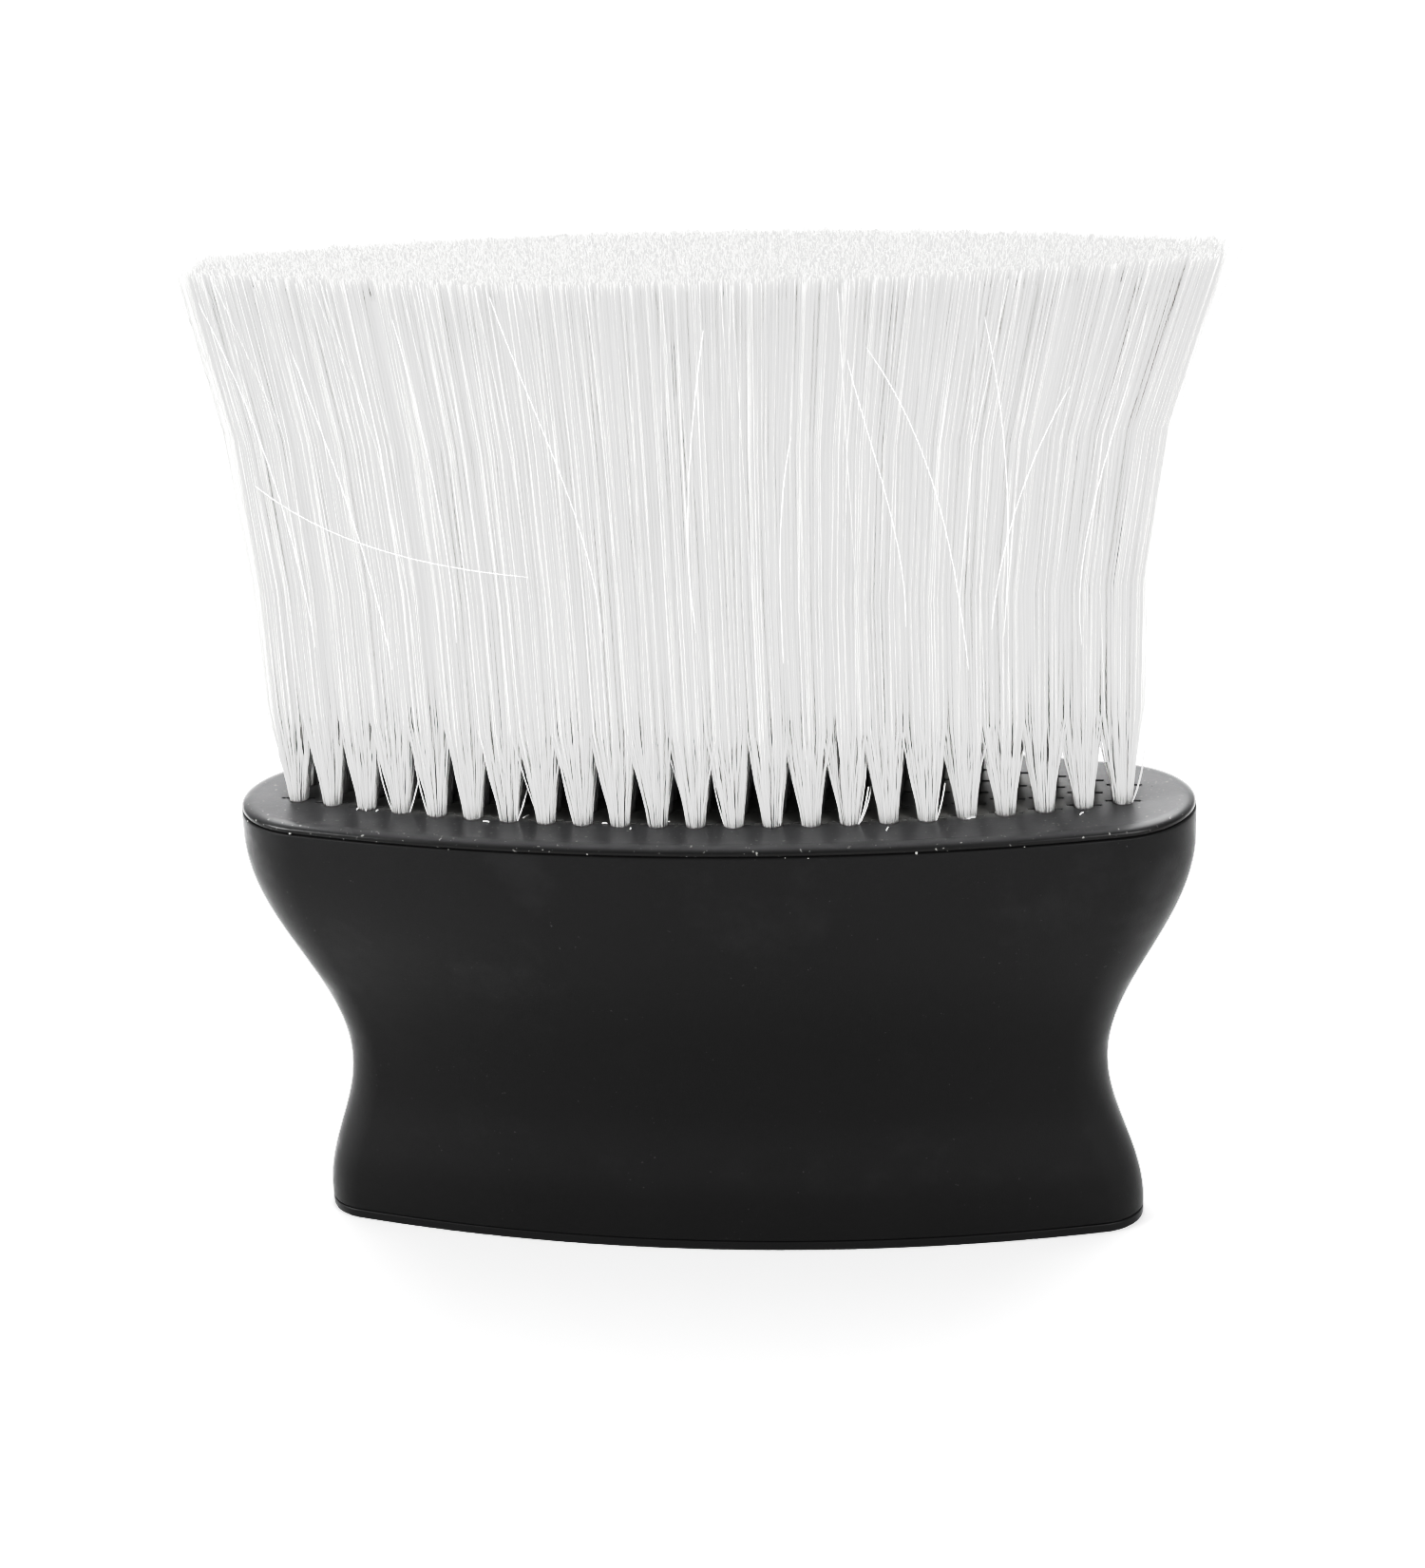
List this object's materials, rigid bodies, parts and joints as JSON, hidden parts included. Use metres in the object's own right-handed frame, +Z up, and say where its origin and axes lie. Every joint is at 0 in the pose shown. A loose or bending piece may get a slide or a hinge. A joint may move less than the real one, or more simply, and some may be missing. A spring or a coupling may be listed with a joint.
{
  "type": "neck duster brush",
  "caption": "Barber's neck duster: a waisted black hand block with a lens-shaped top plate that holds a dense, flat-trimmed fan of long white nylon bristles.",
  "frame": {"origin": "on the floor, under the middle of the brush's bounding box", "axes": "+Z up along the bristles, width of the handle along X, front face toward -Y"},
  "size_m": [0.122, 0.0356, 0.1262],
  "materials": {
    "handle": "fine matte moulded black",
    "cap": "matte moulded black",
    "plate": "semi-gloss dark grey",
    "glue": "cured adhesive",
    "bristle": "white nylon filament, slightly translucent",
    "anchor": "flat drawn wire"
  },
  "bodies": {
    "root": {"handle_shell": "handle", "base_cap": "cap", "bristle_plate": "plate", "plate_glue_bead": "glue", "base_glue_bead": "glue", "tuft_row_1": "bristle", "tuft_row_2": "bristle", "tuft_row_3": "bristle", "tuft_row_4": "bristle", "tuft_row_5": "bristle", "tuft_row_6": "bristle", "anchor_row_1": "anchor", "anchor_row_2": "anchor", "anchor_row_3": "anchor", "anchor_row_4": "anchor", "anchor_row_5": "anchor", "anchor_row_6": "anchor"}
  },
  "joints": []
}
